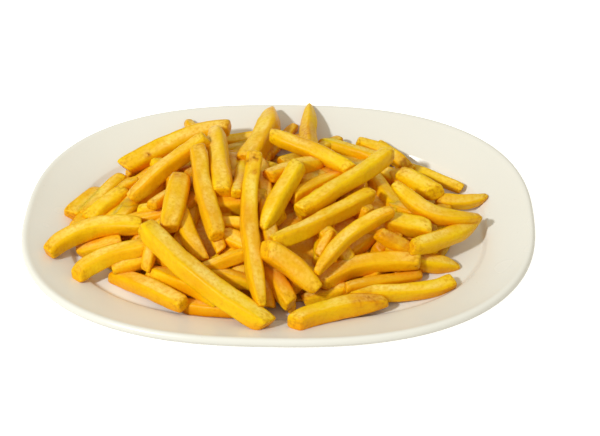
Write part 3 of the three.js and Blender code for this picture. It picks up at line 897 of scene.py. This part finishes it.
def fries_mesh(name, fries, seed):
    """The fries as one mesh with five attributes. A pole gets a fixed edge and end value, and
    for the others the average over the ring next to it."""
    made = fry_surfaces(fries, seed)
    mesh = closed_tubes(name, made["rings"], made["poles"])
    spread = made["coordinates"] + made["offset"][:, None, None]
    first, last = spread[:, 0].mean(axis=1), spread[:, -1].mean(axis=1)
    place = mesh.attributes.new("fry_place", "FLOAT_VECTOR", "POINT")
    place.data.foreach_set("vector", with_poles(spread, first, last))
    for label, at_pole in (("corner", END_EDGE), ("tip", 1.0)):
        layer = mesh.attributes.new("fry_" + label, "FLOAT", "POINT")
        pole = np.full(len(spread), at_pole)
        layer.data.foreach_set("value", with_poles(made[label], pole, pole))
    for label in ("tone", "brown_and_shade"):
        layer = mesh.attributes.new("fry_" + label, "FLOAT", "POINT")
        ends = made[label][:, 0].mean(axis=1), made[label][:, -1].mean(axis=1)
        layer.data.foreach_set("value", with_poles(made[label], *ends))
    return mesh


under = {part: np.concatenate([filled[part], below[part]]) for part in filled}
shown_mesh = fries_mesh("fries_on_top", shown, seed=21)
under_mesh = fries_mesh("fries_below", under, seed=22)

# %% [markdown]
# ## Fried potato
#
# A fry's skin is a thin dry crust, fried golden, over soft white potato. Light goes a little
# way in, so it glows rather than looks painted. The colour is not even. On the faces that look
# up it is paler and mottled, a painted highlight of the light from above, and at the sides and
# where it looks down it is deeper, which is painted shade. Along the edges and at the ends,
# which brown first, it is deeper too. Some fries have browned spots, some of which are painted
# shade where fries above shade them, and a few have burnt specks. Deep between the fries the
# colour turns a deeper orange, painted shade together with the light that has bounced off so
# many of them that it turned orange. A painted image could hold all this for one fry, but
# nodes do it for all of them, and no two come out alike.

# %% What the patterns read
potato, tree, shader = new_material("golden_fried_potato")
place = node(tree, "Attribute", "Vector", attribute_name="fry_place")
corner = node(tree, "Attribute", "Fac", attribute_name="fry_corner")
tip = node(tree, "Attribute", "Fac", attribute_name="fry_tip")
tone = node(tree, "Attribute", "Fac", attribute_name="fry_tone")
# browned spots, some of them painted shade
brown_and_shade = node(tree, "Attribute", "Fac", attribute_name="fry_brown_and_shade")
normal = node(tree, "NewGeometry", "Normal")
# which way a face looks: painted highlight on top, painted shade at the sides and below
facing_up = node(tree, "SeparateXYZ", "Z", {0: normal})

# how far off the next surface is, up to about a fry's width: 0 is shut in, 1 open
CREVICE_REACH = 9
crevice = {"Distance": CREVICE_REACH * MM}
open_air = node(tree, "AmbientOcclusion", "AO", crevice, samples=4)

# %% Its patterns, from slow to fine
PATCH_MM = 15
# the pale streaks are a painted highlight
HIGHLIGHT_STREAK_MM = 7
FLAKE_MM = 2.0
MOTTLE_MM = 1.9
BURNT_MM = 4.5  # from one possible burnt speck to the next
STRETCH = (0.45, 1.0, 1.0)  # the slow ones are twice as long as they are wide
TONE_SHARE = 0.25  # how much a fry's own shade counts beside its patches

stretched = node(tree, "Mapping", "Vector", {"Vector": place, "Scale": STRETCH})
noises = [
    node(tree, "TexNoise", "Fac", {"Vector": vector, "Scale": 1 / size_mm, "Detail": detail})
    for vector, size_mm, detail in (
        (stretched, PATCH_MM, 3.0),
        (stretched, HIGHLIGHT_STREAK_MM, 2.0),
        (place, MOTTLE_MM, 3.0),
        (place, FLAKE_MM, 3.0),
    )
]
patches, highlight_streaks, mottle, flakes = noises
cells = node(tree, "TexVoronoi", "Distance", {"Vector": place, "Scale": 1 / BURNT_MM})
shade_inputs = {0: tone, 1: TONE_SHARE, 2: patches}
shade = node(tree, "Math", "Value", shade_inputs, operation="MULTIPLY_ADD")
print("patterns from", MOTTLE_MM, "to", PATCH_MM, "mm wide")

# %% Its colours, one over the other
# Each layer is a colour and the ramps whose product is its share. A ramp says what it reads,
# where it starts and ends, and how high it is there.
LAYERS = [
    # lighter gold, patch by patch and fry by fry
    ["#F0C800", [shade, 0.38, 0.8, 0, 1]],
    # painted highlight: pale and mottled in the middle of a face that looks up, where the light
    # from above falls
    [
        "#FCE07C",
        [highlight_streaks, 0.4, 0.68, 0.12, 1],
        [corner, 0.75, 0.1, 0, 1],
        [mottle, 0.64, 0.32, 0.4, 0.9],
        [facing_up, 0.4, 0.95, 0.05, 1],
    ],
    # painted shade, deeper where it looks down, and a deeper tone in the mottle's other half
    ["#F09000", [facing_up, 0.6, -0.1, 0, 0.12]],
    ["#D08A00", [mottle, 0.5, 0.68, 0, 0.22]],
    # edges and ends
    ["#D08600", [corner, 0.5, 1.0, 0, 1], [tip, 0.5, 0.0, 0, 1], [patches, 0.45, 0.65, 0, 0.35]],
    ["#B87004", [tip, 0.2, 0.9, 0, 1], [mottle, 0.45, 0.65, 0, 0.45]],
    # rare specks near an end, then browned spots, some of them painted shade, and what is burnt in
    # them
    ["#8A5414", [cells, 0.1, 0.05, 0, 1], [tip, 0.5, 0.8, 0, 0.6]],
    ["#C87204", [brown_and_shade, 0.0, 0.4, 0, 1], [flakes, 0.4, 0.62, 0.3, 0.7]],
    ["#6E3C0A", [brown_and_shade, 0.45, 0.8, 0, 1], [flakes, 0.45, 0.6, 0, 0.8]],
    # painted shade and painted bounce light: deeper orange between the fries
    ["#E87C00", [open_air, 0.75, 0.2, 0, 0.5]],
]
RAMP_INPUTS = ("Value", "From Min", "From Max", "To Min", "To Max")

fried = linear("#E8A600")
for colour, *ramps in LAYERS:
    shares = [node(tree, "MapRange", "Result", dict(zip(RAMP_INPUTS, ramp))) for ramp in ramps]
    share = shares[0]
    for other in shares[1:]:
        share = node(tree, "Math", "Value", {0: share, 1: other}, operation="MULTIPLY")
    layer = {0: share, MIX_A: fried, MIX_B: linear(colour)}
    fried = node(tree, "Mix", MIX_OUT, layer, data_type="RGBA")
tree.links.new(fried, shader.inputs["Base Color"])
print(len(LAYERS), "layers of colour")

# %% [markdown]
# ## The crust's relief and its oil
#
# The crust is full of tiny blisters, with a finer grain over them. Both are too low to change
# the outline, so they are bumps and not geometry. A trace of oil gives a soft sheen in patches.
# Under the surface, red and green light travel further through the potato than blue does.

# %% Relief, gloss and depth
BLISTER_MM = 2.6
GRAIN_MM = 0.8

blister_inputs = {"Vector": place, "Scale": 1 / BLISTER_MM, "Smoothness": 0.6}
blisters = node(tree, "TexVoronoi", "Distance", blister_inputs, feature="SMOOTH_F1")
raised_inputs = {"Height": blisters, "Strength": 0.35, "Distance": 0.5 * MM}
raised = node(tree, "Bump", "Normal", raised_inputs, invert=True)
grain = node(tree, "TexNoise", "Fac", {"Vector": place, "Scale": 1 / GRAIN_MM, "Detail": 2.0})
rough_inputs = {"Height": grain, "Strength": 0.4, "Distance": 0.25 * MM, "Normal": raised}
tree.links.new(node(tree, "Bump", "Normal", rough_inputs), shader.inputs["Normal"])

oiled = {"Value": patches, "From Min": 0.35, "From Max": 0.65, "To Min": 0.32, "To Max": 0.55}
tree.links.new(node(tree, "MapRange", "Result", oiled), shader.inputs["Roughness"])
shader.inputs["IOR"].default_value = 1.45
shader.inputs["Specular IOR Level"].default_value = 0.18
shader.inputs["Subsurface Weight"].default_value = 0.4
shader.inputs["Subsurface Radius"].default_value = (1.0, 0.8, 0.25)
shader.inputs["Subsurface Scale"].default_value = 2.0 * MM
print("fried potato takes", len(tree.nodes), "nodes")

# %% Fry pieces
place_piece(shown_mesh, potato, "fries")
place_piece(under_mesh, potato, "fries")

# %% [markdown]
# ## The core
#
# Deep in the heap nothing can be told apart. Fries could fill it down to the well, but no one
# would see them. A low dome with soft relief, as wide as the fries are thick, closes the gaps
# instead. It lies a little under the dome that the fries were laid on, so the gaps look deep.

# %% Core surface
CORE_SINK = 5
CORE_RINGS = 40
CORE_STEPS = 120
CORE_SHARES = (0.02, 0.97)  # of the dome's size: its first and its last ring
RELIEF = 0.8
RELIEF_X, RELIEF_Y = 3.2, 3.4  # a crest is pi times as wide
RELIEF_SKEW = 0.4
CORE_EDGE = 0.3  # its thickness at its edge


def core_rings(rings, steps):
    """The dome: rings of the oval, with the height of the dome less a little, and for its relief
    two crossed sine waves whose crests are as wide as a fry. It closes on a flat base."""
    share = np.linspace(*CORE_SHARES, rings)[:, None]
    angle = np.linspace(0, 2 * np.pi, steps, endpoint=False)[None, :]
    x, y = superellipse(angle, CORE_HALF_LENGTH, CORE_HALF_WIDTH, CORE_POWER)
    x = CORE_CENTRE[0] + x * share
    y = CORE_CENTRE[1] + y * share
    relief = RELIEF * np.sin(x / RELIEF_X + RELIEF_SKEW * y / RELIEF_X) * np.sin(y / RELIEF_Y)
    base = WELL_HEIGHT + FIT_GAP
    top = np.maximum(core_height(x, y) - CORE_SINK + relief, base + CORE_EDGE)
    edge = np.stack([x[-1], y[-1], np.full(steps, base)], axis=-1)[None]
    return np.concatenate([np.stack([x, y, top], axis=-1), edge])


dome = core_rings(CORE_RINGS, CORE_STEPS)
ends = np.array([dome[0].mean(axis=0), [*CORE_CENTRE, WELL_HEIGHT + FIT_GAP]])
core_mesh = closed_tubes("heap_core", dome[None, :, ::-1], ends[None])

# %% Core piece
# Its patterns need a place in millimetres too, and its own is good enough.
core_place = core_mesh.attributes.new("fry_place", "FLOAT_VECTOR", "POINT")
points = np.empty(3 * len(core_mesh.vertices), dtype=np.float32)
core_mesh.vertices.foreach_get("co", points)
core_place.data.foreach_set("vector", points / MM)
place_piece(core_mesh, potato, "fries")
